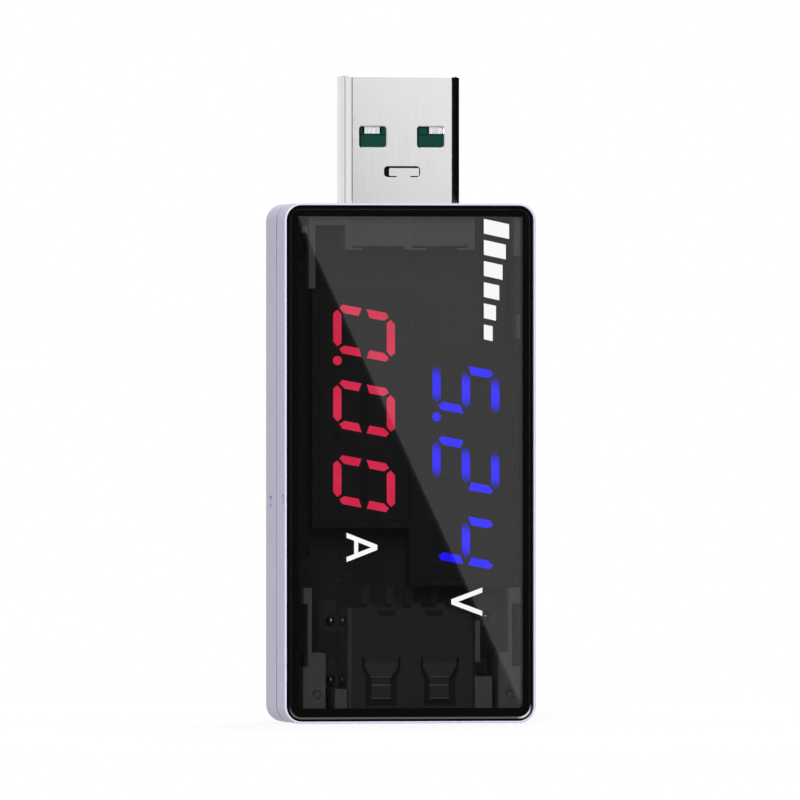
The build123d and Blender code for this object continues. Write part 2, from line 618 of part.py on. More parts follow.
# ---------------------------------------------------------------- socket
SOCKET_BASE_Z = 9.0
TONGUE_GAP = 0.72         # between the tongue's front and the shell
SOCKET_TONGUE_T = 1.84
TONGUE_FRONT_Y = SOCKET_Y0 + SHEET + TONGUE_GAP
TONGUE_BACK_Y = TONGUE_FRONT_Y + SOCKET_TONGUE_T
SPRING_Y = TONGUE_BACK_Y - 0.35       # centreline of a contact spring where it leaves the base
TONGUE_TIP_Z = 0.5
SLOT_W = 1.3
SLOT_FLOOR_Y = TONGUE_BACK_Y - 1.3
SPRING_T = 0.25
SPRING_ROOT_Z = 8.6
FINGER_X = 3.0            # sheet springs, either side of the socket's centre
FINGER_ROOT_Z = 6.65
FINGER_CUT_Z = 1.73       # bottom of the opening round each sheet spring
SPRINGS = {"vbus": -3.5, "data_minus": -1.0, "data_plus": 1.0, "ground": 3.5}


def socket_section(inset, radius):
    mid = (SOCKET_Y0 + SOCKET_Y1) / 2
    return Pos(SOCKET_X, mid) * RectangleRounded(SOCKET_W - 2 * inset, SOCKET_T - 2 * inset, radius)


def finger_window(x):
    """Opening round a sheet spring: wide at the spring's root, narrower below."""
    wide, narrow = 1.95, 1.6
    right = [(wide, FINGER_ROOT_Z), (wide, 5.6), (narrow, 4.5), (narrow, FINGER_CUT_Z)]
    return Polygon(*[(x + u, z) for u, z in right], *[(x - u, z) for u, z in reversed(right)], align=None)


def finger(x, wall_y, inward):
    """Tapered sheet spring: flat at the root, then two formed steps with the contact face between them."""
    bend = [(0.0, FINGER_ROOT_Z - 0.02), (0.0, 6.1), (0.26, 4.74), (0.33, 4.64), (0.33, 3.88), (0.26, 3.78),
            (0.0, 2.42)]
    strip = ribbon([(wall_y + inward * d, z) for d, z in bend], 0.24, x - 1.8, x + 1.8)
    root, tip = 1.72, 0.98
    right = [(root, 7), (root, 5.7), (tip, 4.5), (tip, 2)]
    taper = Polygon(*[(x + u, z) for u, z in right], *[(x - u, z) for u, z in reversed(right)], align=None)
    return strip & prism_y(taper, wall_y - 2, wall_y + 2)


def socket_shell():
    """Folded sheet shell, open at the mouth, with openings for its springs and four solder feet."""
    shell = prism_z(socket_section(0, 0.5), 0, SOCKET_L)
    shell -= prism_z(socket_section(SHEET, 0.2), -1, SOCKET_L - SHEET)
    for dx in (-FINGER_X, FINGER_X):
        shell -= prism_y(finger_window(SOCKET_X + dx), SOCKET_Y0 - 1, SOCKET_Y1 + 1)
        notch = Pos(SOCKET_X + dx * 0.82, SOCKET_L) * RectangleRounded(1.9, 1.8, 0.4)
        shell -= prism_y(notch, SOCKET_Y0 - 1, SOCKET_Y0 + SHEET)
    shell -= block(SOCKET_X - 5, SOCKET_X + 5, SPRING_Y - 0.4, SOCKET_Y1 + 1, SOCKET_L - 1, SOCKET_L + 1)
    half = SOCKET_W / 2
    for side, z0, reach in SOCKET_FEET:
        low, high = sorted((SOCKET_X + side * (half - SHEET), SOCKET_X + side * half))
        shell += block(low, high, 0.4, BOARD_Y, z0, z0 + FOOT_L)
        low, high = sorted((SOCKET_X + side * (half - SHEET), SOCKET_X + side * (half + reach)))
        shell += block(low, high, BOARD_Y - SHEET, BOARD_Y, z0, z0 + FOOT_L)
    return shell


# Solder feet of the socket: side, bottom z, reach from the shell's flank.
SOCKET_FEET = [(-1, 3.75, 1.2), (-1, 9.8, 1.2), (1, 3.9, 2.3), (1, 10.2, 2.9)]
FOOT_L = 1.0


def socket_insulator(springs, terminals):
    """Moulding with the tongue. Each contact spring lies in a slot in the tongue's back."""
    inner = socket_section(SHEET, 0.2)
    base = prism_z(inner, SOCKET_BASE_Z, SOCKET_L - SHEET)
    left, right = SOCKET_X - 5.55, SOCKET_X + 5.55
    tongue = block(left, right, TONGUE_FRONT_Y, TONGUE_BACK_Y, TONGUE_TIP_Z, SOCKET_BASE_Z + 0.5)
    tongue = chamfer(tongue.edges().group_by(Axis.Z)[0], 0.25)
    moulding = base + tongue
    for dx in SPRINGS.values():
        x = SOCKET_X + dx
        slot_x = (x - SLOT_W / 2, x + SLOT_W / 2)
        moulding -= block(*slot_x, SLOT_FLOOR_Y, TONGUE_BACK_Y + 1, TONGUE_TIP_Z + 0.45, SPRING_ROOT_Z + 0.02)
    return moulding - terminals


def socket_spring(x):
    """Contact spring: rises out of its slot to the bump that touches the plug, then dips back in."""
    rises = [(-0.35, SPRING_ROOT_Z), (-0.3, 7.4), (0.1, 5.2), (0.42, 4.1), (0.52, 3.6), (0.42, 3.1),
             (-0.1, 1.9), (-0.35, 1.4)]
    line = [(TONGUE_BACK_Y + rise, z) for rise, z in rises]
    return ribbon(line, SPRING_T, x - CONTACT_W / 2, x + CONTACT_W / 2)


def socket_terminal(x):
    """Fixed half of a contact: through the base, then down to its solder tail on the board."""
    half = CONTACT_W / 2
    y = SPRING_Y - SPRING_T / 2
    terminal = block(x - half, x + half, y, y + SPRING_T, SPRING_ROOT_Z + 0.02, SOCKET_L + 0.4)
    terminal += block(x - half, x + half, y, BOARD_Y, SOCKET_L + 0.15, SOCKET_L + 0.4)
    terminal += block(x - 0.4, x + 0.4, BOARD_Y - SPRING_T, BOARD_Y, SOCKET_L + 0.15, SOCKET_L + 1.9)
    return terminal


def solder_domes():
    """Solder on the socket's four feet, in front, and on the plug's two wings, behind."""
    domes = []
    for side, z0, reach in SOCKET_FEET:
        cone = Rot(90, 0, 0) * Cone(bottom_radius=0.58, top_radius=0.35, height=0.4)
        x = SOCKET_X + side * (SOCKET_W / 2 + reach - 0.6)
        domes.append(Pos(x, BOARD_Y - SHEET - 0.2, z0 + FOOT_L / 2) * cone)
    for side in (-1, 1):
        cone = Rot(-90, 0, 0) * Cone(bottom_radius=0.65, top_radius=0.35, height=0.4)
        domes.append(Pos(side * (PLUG_W / 2 + 0.9), BOARD_BACK_Y + SHEET + 0.2, PLUG_Z0 + 1.25) * cone)
    return domes


# ---------------------------------------------------------------- build and write
def build():
    keep("front_frame", front_frame())
    keep("rear_shell", rear_shell())
    keep("window_lens", window_lens())
    keep("window_adhesive", window_adhesive())
    keep("display_holder", display_holder())
    for display in DISPLAYS:
        lit, dark = display_segments(display)
        keep(f"{display}_display_case", display_case(display, lit + dark))
        keep(f"{display}_segments_lit", Compound(children=lit), len(lit))
        keep(f"{display}_segments_dark", Compound(children=dark), len(dark))
        pins = display_pins(display)
        keep(f"{display}_display_pins", Compound(children=pins), len(pins))
    keep("circuit_board", circuit_board())
    keep("microcontroller", microcontroller())
    leads = microcontroller_leads()
    keep("microcontroller_leads", Compound(children=leads), len(leads))
    keep("voltage_regulator", voltage_regulator())
    leads = regulator_leads()
    keep("regulator_leads", Compound(children=leads), len(leads))
    body, caps = end_capped_chip(*SHUNT)
    keep("shunt_resistor", body)
    keep("shunt_end_caps", Compound(children=caps), 2)
    bodies, resistor_caps = chip_group(RESISTORS)
    keep("chip_resistors", Compound(children=bodies), len(bodies))
    bodies, capacitor_caps = chip_group(CAPACITORS)
    keep("chip_capacitors", Compound(children=bodies), len(bodies))
    caps = resistor_caps + capacitor_caps
    keep("chip_end_caps", Compound(children=caps), len(caps))
    keep("plug_shell", plug_shell())
    contacts = {name: plug_contact(x) for name, x in CONTACT_XS.items()}
    for name, contact in contacts.items():
        keep(f"plug_contact_{name}", contact)
    keep("plug_insulator", plug_insulator(list(contacts.values())))
    keep("socket_shell", socket_shell())
    springs = {name: socket_spring(SOCKET_X + dx) for name, dx in SPRINGS.items()}
    for name, spring in springs.items():
        keep(f"socket_spring_{name}", spring)
    terminals = [socket_terminal(SOCKET_X + dx) for dx in SPRINGS.values()]
    keep("socket_terminals", Compound(children=terminals), len(terminals))
    keep("socket_insulator", socket_insulator(list(springs.values()), terminals))
    for face, wall_y, inward in (("front", SOCKET_Y0 + SHEET / 2, 1), ("rear", SOCKET_Y1 - SHEET / 2, -1)):
        for side, dx in (("left", -FINGER_X), ("right", FINGER_X)):
            keep(f"shell_spring_{face}_{side}", finger(SOCKET_X + dx, wall_y, inward))
    domes = solder_domes()
    keep("solder_joints", Compound(children=domes), len(domes))


def write():
    os.makedirs("parts", exist_ok=True)
    for name, shape in PARTS.items():
        shape.label = name
        export_step(shape, f"parts/{name}.step")


build()
write()
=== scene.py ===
"""Looks for the USB power meter: materials, printed marks, solder and board details, light and camera.

Lengths are in metres in the CAD model's frame. The readouts and the window face -Y, and the plug points up.
"""
import json
import math
import bpy
import bmesh
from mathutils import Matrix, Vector, noise


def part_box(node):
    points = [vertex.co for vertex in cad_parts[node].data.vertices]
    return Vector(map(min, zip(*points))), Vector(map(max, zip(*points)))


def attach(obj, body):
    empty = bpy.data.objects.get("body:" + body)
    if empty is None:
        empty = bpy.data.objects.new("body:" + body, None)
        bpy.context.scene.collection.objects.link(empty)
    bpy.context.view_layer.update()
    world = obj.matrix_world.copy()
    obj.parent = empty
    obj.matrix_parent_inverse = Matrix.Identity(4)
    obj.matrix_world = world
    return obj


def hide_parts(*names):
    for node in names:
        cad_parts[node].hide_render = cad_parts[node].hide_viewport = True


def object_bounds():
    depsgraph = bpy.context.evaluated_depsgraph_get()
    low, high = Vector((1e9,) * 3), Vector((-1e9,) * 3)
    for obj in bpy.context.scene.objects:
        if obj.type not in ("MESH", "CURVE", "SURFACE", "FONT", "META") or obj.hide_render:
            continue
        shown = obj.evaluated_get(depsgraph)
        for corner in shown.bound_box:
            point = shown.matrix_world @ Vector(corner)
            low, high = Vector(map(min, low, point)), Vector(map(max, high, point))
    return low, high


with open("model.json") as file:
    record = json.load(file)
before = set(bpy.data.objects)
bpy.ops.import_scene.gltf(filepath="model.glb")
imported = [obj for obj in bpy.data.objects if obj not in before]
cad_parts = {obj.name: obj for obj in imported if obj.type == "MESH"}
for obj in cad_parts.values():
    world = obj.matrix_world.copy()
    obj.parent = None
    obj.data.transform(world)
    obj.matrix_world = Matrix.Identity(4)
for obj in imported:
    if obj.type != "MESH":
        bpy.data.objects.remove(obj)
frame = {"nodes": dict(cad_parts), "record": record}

CAD_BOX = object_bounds()
MM = 0.001
BODY = "meter_body"
NODES = frame["nodes"]
COLLECTION = bpy.context.scene.collection


# ---------------------------------------------------------------- places read from the frame
LENS_LOW, LENS_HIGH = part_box("window_lens")
BOARD_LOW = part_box("circuit_board")[0]
SOCKET_LOW, SOCKET_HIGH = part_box("socket_insulator")
FRONT_Y = LENS_LOW.y
LIP = 0.95 * MM                 # the rear shell's lip starts this far in front of the seam
SEAM_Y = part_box("rear_shell")[0].y + LIP
EDGE_R = 0.38 * MM              # rounded edge of the window
BEVEL_W = 0.39 * MM
SEAM_W = 0.4 * MM               # shadow gap between the two shells
LENS_R = 1.5 * MM
INK_T = 0.012 * MM
# The clear part of the window, inside the black border, as (x, z).
BORDER_SIDE, BORDER_FOOT, BORDER_TOP = 1.11 * MM, 1.28 * MM, 1.08 * MM
CLEAR_LOW = (LENS_LOW.x + BORDER_SIDE, LENS_LOW.z + BORDER_FOOT)
CLEAR_HIGH = (LENS_HIGH.x - BORDER_SIDE, LENS_HIGH.z - BORDER_TOP)
CLEAR_R = 0.12 * MM


def mm(*values):
    """Millimetres to metres."""
    return [v * MM for v in values]


# ---------------------------------------------------------------- node helpers
class Graph:
    """A material's node tree, with short calls for the nodes that the materials share."""

    def __init__(self, name):
        self.material = bpy.data.materials.new(name)
        self.material.use_nodes = True
        self.tree = self.material.node_tree
        self.tree.nodes.clear()
        self.shader = self.add("ShaderNodeBsdfPrincipled")
        output = self.add("ShaderNodeOutputMaterial")
        self.link(self.shader.outputs["BSDF"], output.inputs["Surface"])
        self.place = self.add("ShaderNodeTexCoord").outputs["Object"]

    def add(self, kind, **settings):
        node = self.tree.nodes.new(kind)
        for key, value in settings.items():
            setattr(node, key, value)
        return node

    def link(self, source, target):
        self.tree.links.new(source, target)

    def set(self, **values):
        """Sets plain values on the shader's own sockets; an underscore stands for a space."""
        for key, value in values.items():
            self.shader.inputs[key.replace("_", " ")].default_value = value

    def feed(self, socket, source):
        self.link(source, self.shader.inputs[socket])

    def stretched(self, scale, rotation=(0, 0, 0)):
        mapping = self.add("ShaderNodeMapping")
        mapping.inputs["Scale"].default_value = scale
        mapping.inputs["Rotation"].default_value = rotation
        self.link(self.place, mapping.inputs["Vector"])
        return mapping.outputs["Vector"]

    def noise(self, cell_mm, detail=3.0, roughness=0.55, vector=None):
        """Noise from 0 to 1 whose features are about cell_mm across."""
        node = self.add("ShaderNodeTexNoise")
        node.inputs["Scale"].default_value = 1.0 / (cell_mm * MM)
        node.inputs["Detail"].default_value = detail
        node.inputs["Roughness"].default_value = roughness
        self.link(vector or self.place, node.inputs["Vector"])
        return node.outputs["Fac"]

    def span(self, value, low, high, to_low=0.0, to_high=1.0, smooth=True):
        """Maps low..high to to_low..to_high, held at both ends."""
        node = self.add("ShaderNodeMapRange", interpolation_type="SMOOTHSTEP" if smooth else "LINEAR")
        for key, number in (("From Min", low), ("From Max", high), ("To Min", to_low), ("To Max", to_high)):
            node.inputs[key].default_value = number
        self.link(value, node.inputs["Value"])
        return node.outputs["Result"]

    def math(self, operation, a, b=None):
        node = self.add("ShaderNodeMath", operation=operation)
        for i, value in enumerate((a, b)):
            if value is None:
                continue
            if isinstance(value, (int, float)):
                node.inputs[i].default_value = value
            else:
                self.link(value, node.inputs[i])
        return node.outputs["Value"]

    def mix(self, factor, first, second):
        """Blend of two colours, each a tuple or a socket."""
        node = self.add("ShaderNodeMix", data_type="RGBA")
        self.link(factor, node.inputs["Factor"])
        for socket, value in ((node.inputs[6], first), (node.inputs[7], second)):
            if isinstance(value, tuple):
                socket.default_value = (*value, 1.0)
            else:
                self.link(value, socket)
        return node.outputs[2]

    def axes(self):
        node = self.add("ShaderNodeSeparateXYZ")
        self.link(self.place, node.inputs["Vector"])
        return node.outputs["X"], node.outputs["Y"], node.outputs["Z"]

    def bump(self, height, depth_mm, strength=1.0):
        node = self.add("ShaderNodeBump")
        node.inputs["Strength"].default_value = strength
        node.inputs["Distance"].default_value = depth_mm * MM
        self.link(height, node.inputs["Height"])
        self.feed("Normal", node.outputs["Normal"])


def shades(colour, amount):
    """The same colour a little darker and a little lighter."""
    return (tuple(c * (1 - amount) for c in colour), tuple(min(c * (1 + amount), 1.0) for c in colour))


# ---------------------------------------------------------------- materials
# Gate marks on the left side, as (y, z, half width along y, half height along z).
DIMPLES = [mm(2.45, 22.4, 1.05, 0.6), mm(-5.0, 22.7, 0.75, 0.48)]
DIMPLE_SIDE = mm(-12.5, -12.2)
# Soft steps from the housing's outer faces to its inner ones, as (start, end) of each step.
INNER_SIDE = mm(12.1, 12.3)
INNER_FRONT = (LENS_HIGH.y + 0.04 * MM, LENS_HIGH.y + 0.08 * MM)
INNER_BACK = mm(4.9, 5.1)
INNER_FOOT = mm(0.9, 1.1)
INNER_TOP = mm(51.6, 51.8)
# Painted shade: the inner faces darken with depth, and a painted shadow lies beside the board on the left.
INNER_DEPTH = (LENS_HIGH.y + 0.5 * MM, 1.0 * MM)
LEFT_SHADOW_X = mm(-10.85, -10.72)
# Painted shade in the seam, then a thin painted shade line on the edge behind it, which fades towards the
# corners.
SEAM_START = mm(-0.03, 0.0)
SEAM_EDGE = (SEAM_W + 0.08 * MM, SEAM_W + 0.10 * MM)
SEAM_EDGE_END = (SEAM_W + 0.12 * MM, SEAM_W + 0.16 * MM)
BODY_MIDDLE_Z = 26.0 * MM
SEAM_CORNERS = mm(14.0, 25.0)


def housing_plastic():
    """Moulded off-white plastic with a painted lavender tint: fine spark texture, painted shade in the seam
    and recesses, darker gate marks, and a few dull scuffs.
    """
    g = Graph("housing_plastic")
    x, y, z = g.axes()
    flow = g.noise(6.0, 2.0)
    # The outer faces' lavender-grey is painted light: it stands in for the dimmer, bluish light on the sides
    # of off-white plastic.
    outside = g.mix(flow, *shades((0.745, 0.715, 0.915), 0.02))
    inner = g.math("MULTIPLY", g.span(g.math("ABSOLUTE", x), *INNER_SIDE, 1.0, 0.0), g.span(y, *INNER_FRONT))
    inner = g.math("MULTIPLY", inner, g.span(y, *INNER_BACK, 1.0, 0.0))
    inner = g.math("MULTIPLY", inner, g.span(z, *INNER_FOOT))
    inner = g.math("MULTIPLY", inner, g.span(z, *INNER_TOP, 1.0, 0.0))
    # Painted shade on the inner faces, darker with depth, and a near-black painted shadow beside the board on
    # the left.
    recess = g.mix(g.span(y, *INNER_DEPTH, smooth=False), (0.66, 0.66, 0.665), (0.10, 0.10, 0.105))
    recess = g.mix(g.span(x, *LEFT_SHADOW_X), (0.05, 0.05, 0.052), recess)
    colour = g.mix(inner, outside, recess)
    # Painted shade in the seam's groove and on the edge behind it, on the outer faces only.
    past_seam = g.math("SUBTRACT", y, SEAM_Y)
    outer_skin = g.math("SUBTRACT", 1.0, inner)
    gap_end = g.span(past_seam, *SEAM_EDGE, 1.0, 0.0)
    gap = g.math("MULTIPLY", g.span(past_seam, *SEAM_START), gap_end)
    edge = g.math("MULTIPLY", g.span(past_seam, *SEAM_EDGE), g.span(past_seam, *SEAM_EDGE_END, 1.0, 0.0))
    from_middle = g.math("ABSOLUTE", g.math("SUBTRACT", z, BODY_MIDDLE_Z))
    ends = g.span(from_middle, *SEAM_CORNERS)
    edge = g.math("MULTIPLY", edge, g.math("SUBTRACT", 1.0, ends))
    in_gap = g.math("MULTIPLY", gap, g.span(ends, 0.0, 1.0, 0.72, 0.96))
    seam_shade_and_marks = g.math("MAXIMUM", in_gap, g.math("MULTIPLY", edge, 0.28))
    # Each gate mark gets a darker ring and a darker middle.
    left = g.span(x, *DIMPLE_SIDE, 1.0, 0.0)
    for cy, cz, half_y, half_z in DIMPLES:
        dy = g.math("DIVIDE", g.math("SUBTRACT", y, cy), half_y)
        dz = g.math("DIVIDE", g.math("SUBTRACT", z, cz), half_z)
        r = g.math("SQRT", g.math("ADD", g.math("POWER", dy, 2.0), g.math("POWER", dz, 2.0)))
        ring = g.math("MULTIPLY", g.span(r, 0.55, 0.8), g.span(r, 0.95, 1.1, 1.0, 0.0))
        pit = g.span(r, 0.2, 0.45, 1.0, 0.0)
        mark = g.math("MAXIMUM", g.math("MULTIPLY", ring, 0.5), g.math("MULTIPLY", pit, 0.8))
        seam_shade_and_marks = g.math("MAXIMUM", seam_shade_and_marks, g.math("MULTIPLY", mark, left))
    # The painted seam shade and the gate marks darken the outer faces' colour.
    g.feed("Base Color", g.mix(g.math("MULTIPLY", seam_shade_and_marks, outer_skin), colour, (0.06, 0.058, 0.065)))
    texture = g.noise(0.16, 2.0, 0.6)
    scuffs = g.span(g.noise(1.8, 5.0, 0.7, g.stretched((1.0, 1.0, 0.22))), 0.56, 0.70)
    rough = g.math("ADD", g.span(texture, 0.3, 0.7, 0.36, 0.44), g.math("MULTIPLY", scuffs, 0.14))
    g.feed("Roughness", rough)
    g.bump(texture, 0.006, 0.5)
    g.set(IOR=1.5, Subsurface_Weight=0.03, Subsurface_Scale=0.3 * MM)
    return g.material


def border_distance(g):
    """How far a point of the window is inside its outline, seen from the front."""
    x, _, z = g.axes()
    half_x = (LENS_HIGH.x - LENS_LOW.x) / 2 - LENS_R
    half_z = (LENS_HIGH.z - LENS_LOW.z) / 2 - LENS_R
    middle_z = (LENS_HIGH.z + LENS_LOW.z) / 2
    dx = g.math("SUBTRACT", g.math("ABSOLUTE", x), half_x)
    dz = g.math("SUBTRACT", g.math("ABSOLUTE", g.math("SUBTRACT", z, middle_z)), half_z)
    outside = g.math("SQRT", g.math("ADD", g.math("POWER", g.math("MAXIMUM", dx, 0.0), 2.0),
                                    g.math("POWER", g.math("MAXIMUM", dz, 0.0), 2.0)))
    inside = g.math("MINIMUM", g.math("MAXIMUM", dx, dz), 0.0)
    return g.math("SUBTRACT", LENS_R, g.math("ADD", outside, inside))


def smoked_window():
    """Smoked acrylic: light passes both faces. Its rounded edge is opaque, under the edge ink."""
    g = Graph("smoked_window")
    g.set(IOR=1.49, Specular_IOR_Level=0.92)
    rim = g.span(border_distance(g), BEVEL_W * 0.98, BEVEL_W * 1.04, 1.0, 0.0, smooth=False)
    g.feed("Alpha", g.span(rim, 0.0, 1.0, 0.53, 1.0, smooth=False))
    g.feed("Base Color", g.mix(g.noise(4.0, 2.0), (0.0028, 0.0028, 0.003), (0.0034, 0.0034, 0.0036)))
    smudges = g.span(g.noise(9.0, 4.0, 0.6), 0.45, 0.75, 0.0, 0.012)
    scratches = g.noise(0.5, 4.0, 0.7, g.stretched((1.0, 1.0, 0.08), (0, 0.5, 0)))
    hairlines = g.span(scratches, 0.68, 0.76, 0.0, 0.03)
    g.feed("Roughness", g.math("ADD", g.math("ADD", smudges, hairlines), g.math("MULTIPLY", rim, 0.5)))
    g.bump(g.noise(14.0, 1.0), 0.0006, 0.5)
    return g.material


def edge_ink():
    """Black ink on the window's rounded edge, with a painted highlight: a grey line along the foot and up its
    corners, brightest at the right-hand corner.
    """
    g = Graph("edge_ink")
    inset = border_distance(g)
    x, _, z = g.axes()
    line = g.math("MULTIPLY", g.span(inset, 0.17 * MM, 0.20 * MM),
                  g.span(inset, 0.35 * MM, 0.38 * MM, 1.0, 0.0))
    line = g.math("MULTIPLY", line, g.span(z, LENS_LOW.z + 0.5 * MM, LENS_LOW.z + 1.7 * MM, 1.0, 0.0))
    # Painted highlight, brighter towards the right-hand corner.
    corner = g.span(x, LENS_HIGH.x - 1.8 * MM, LENS_HIGH.x - 0.9 * MM)
    painted_highlight = g.mix(corner, (0.11, 0.11, 0.11), (0.85, 0.85, 0.85))
    grain = g.mix(g.noise(0.12, 3.0), (0.0014, 0.0014, 0.0015), (0.0024, 0.0024, 0.0025))
    g.feed("Base Color", g.mix(line, grain, painted_highlight))
    g.feed("Roughness", g.span(g.noise(0.12, 3.0), 0.3, 0.7, 0.5, 0.6))
    g.set(Specular_IOR_Level=0.02)
    return g.material


def border_ink():
    """Silk-screened black border: matt, with the print's fine grain."""
    g = Graph("border_ink")
    grain = g.noise(0.12, 3.0)
    g.feed("Base Color", g.mix(grain, (0.0014, 0.0014, 0.0015), (0.0026, 0.0026, 0.0027)))
    g.feed("Roughness", g.span(grain, 0.3, 0.7, 0.55, 0.68))
    g.bump(grain, 0.002, 0.4)
    g.set(Specular_IOR_Level=0.02)
    return g.material


def white_ink():
    """Opaque white print with a slight thickness variation."""
    g = Graph("white_ink")
    grain = g.noise(0.15, 3.0)
    g.feed("Base Color", g.mix(grain, (0.86, 0.86, 0.87), (0.95, 0.95, 0.95)))
    g.feed("Roughness", g.span(grain, 0.3, 0.7, 0.38, 0.5))
    g.bump(grain, 0.003, 0.4)
    return g.material


def plain_plastic(name, colour, rough=0.45, cell_mm=0.18, depth_mm=0.006, variation=0.25, specular=0.5):
    """Moulded plastic or epoxy with a fine grain."""
    g = Graph(name)
    dark, light = shades(colour, variation)
    g.feed("Base Color", g.mix(g.noise(cell_mm * 8, 3.0), dark, light))
    grain = g.noise(cell_mm, 3.0)
    g.feed("Roughness", g.span(grain, 0.25, 0.75, rough - 0.07, rough + 0.07))
    g.bump(grain, depth_mm, 0.6)
    g.set(Specular_IOR_Level=specular)
    return g.material


def lit_segment(name, core, edge, strength):
    """Glowing epoxy with the diffuser's faint speckle."""
    g = Graph(name)
    speckle = g.noise(0.35, 3.0)
    patches = g.noise(2.4, 1.0)
    blend = g.math("ADD", g.math("MULTIPLY", speckle, 0.35), g.math("MULTIPLY", patches, 0.65))
    glow = g.mix(g.span(blend, 0.34, 0.66), edge, core)
    if name == "segment_blue":
        glow = g.mix(bar_fade(g), glow, tuple(c * 0.3 for c in edge))
    g.feed("Emission Color", glow)
    g.feed("Base Color", g.mix(speckle, tuple(c * 0.06 for c in edge), tuple(c * 0.06 for c in core)))
    g.feed("Roughness", g.span(speckle, 0.3, 0.7, 0.3, 0.45))
    g.bump(speckle, 0.004, 0.3)
    g.set(Emission_Strength=strength)
    return g.material


DIGIT_PITCH = 7.62 * MM
DIGIT_SLANT = math.radians(10.5)
MIDDLE_BAR = mm(0.44, 0.5)          # the middle bar's half height, and where the outer bars start
OUTER_BARS = mm(2.5, 2.58)
BAR_FADE = mm(0.5, 1.75)
BAR_END = mm(1.86, 1.95)


def bar_fade(g):
    """How much the three cross bars of a blue digit fade towards their ends, away from their lit middle."""
    low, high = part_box("voltage_display_case")
    x, _, z = g.axes()
    v = g.math("SUBTRACT", x, (low.x + high.x) / 2)
    along = g.math("SUBTRACT", (low.z + high.z) / 2, z)
    u = g.math("SUBTRACT", along, g.math("MULTIPLY", v, math.tan(DIGIT_SLANT)))
    half = DIGIT_PITCH / 2
    u = g.math("SUBTRACT", g.math("FLOORED_MODULO", g.math("ADD", u, half), DIGIT_PITCH), half)
    reach = g.math("ABSOLUTE", u)
    height = g.math("ABSOLUTE", v)
    bar = g.math("MAXIMUM", g.span(height, *MIDDLE_BAR, 1.0, 0.0), g.span(height, *OUTER_BARS))
    fade = g.math("MULTIPLY", g.span(reach, *BAR_FADE), g.span(reach, *BAR_END, 1.0, 0.0))
    return g.math("MULTIPLY", bar, fade)


def dark_segment():
    """Unlit diffuser: milky grey epoxy that shows faintly against the black face."""
    g = Graph("segment_dark")
    speckle = g.noise(0.35, 3.0)
    g.feed("Base Color", g.mix(speckle, (0.035, 0.035, 0.037), (0.055, 0.055, 0.058)))
    g.feed("Roughness", g.span(speckle, 0.3, 0.7, 0.35, 0.5))
    g.bump(speckle, 0.004, 0.3)
    return g.material


def board_mask():
    """Black solder mask over copper: raised tracks show as a slightly lighter relief."""
    g = Graph("board_black")
    tracks = g.add("ShaderNodeTexBrick")
    tracks.inputs["Scale"].default_value = 1.0
    for key, number in (("Mortar Size", 0.12 * MM), ("Brick Width", 3.1 * MM), ("Row Height", 1.15 * MM)):
        tracks.inputs[key].default_value = number
    tracks.inputs["Mortar Smooth"].default_value = 0.2
    turned = g.stretched((1, 1, 1), (math.radians(90), 0, 0))
    g.link(turned, tracks.inputs["Vector"])
    relief = g.span(tracks.outputs["Fac"], 0.0, 1.0)
    grain = g.noise(0.2, 3.0)
    g.feed("Base Color", g.mix(relief, (0.115, 0.116, 0.116), (0.145, 0.147, 0.147)))
    g.feed("Roughness", g.span(grain, 0.3, 0.7, 0.32, 0.44))
    g.bump(g.math("ADD", relief, g.math("MULTIPLY", grain, 0.15)), 0.02, 0.6)
    return g.material


def plated_metal(name, colour, rough, tarnish=0.06, cell_mm=0.4, depth_mm=0.0015, dull_below=None,
                 painted_glint_lines=()):
    """Plated or tinned metal: drawn lines along Z, cloudy plating and small dull spots.

    Below the height dull_below, the parts inside the body have a grey oxide bloom in place of the clean
    plating, with a painted highlight line at each height that the last argument lists.
    """
    g = Graph(name)
    dark, light = shades(colour, tarnish)
    clouds = g.noise(3.5, 3.0)
    lines = g.noise(cell_mm, 4.0, 0.6, g.stretched((1.0, 1.0, 0.06)))
    spots = g.span(g.noise(0.9, 5.0, 0.7), 0.60, 0.72, 0.0, 0.03)
    total = g.math("ADD", g.span(lines, 0.3, 0.7, rough - 0.005, rough + 0.007), spots)
    plating = g.mix(clouds, dark, light)
    if dull_below is None:
        g.feed("Base Color", plating)
        g.set(Metallic=1.0)
    else:
        clean = g.span(g.axes()[2], dull_below - 2 * MM, dull_below)
        bloom_and_glints = g.mix(clouds, (0.40, 0.40, 0.40), (0.46, 0.46, 0.46))
        # Painted highlights: a bright line at each listed height, where a bend would catch the light.
        for line_z in painted_glint_lines:
            off = g.math("ABSOLUTE", g.math("SUBTRACT", g.axes()[2], line_z))
            bloom_and_glints = g.mix(g.span(off, 0.04 * MM, 0.08 * MM, 1.0, 0.0), bloom_and_glints, (0.98, 0.98, 0.98))
        g.feed("Base Color", g.mix(clean, bloom_and_glints, plating))
        g.feed("Metallic", g.span(clean, 0.0, 1.0, 0.45, 1.0))
        total = g.math("MULTIPLY", total, g.span(clean, 0.0, 1.0, 0.6, 1.0))
    g.feed("Roughness", total)
    g.bump(lines, depth_mm, 0.4)
    return g.material


LOCK_DROP = 9.73 * MM               # from the plug's mouth down to the middle of its lock


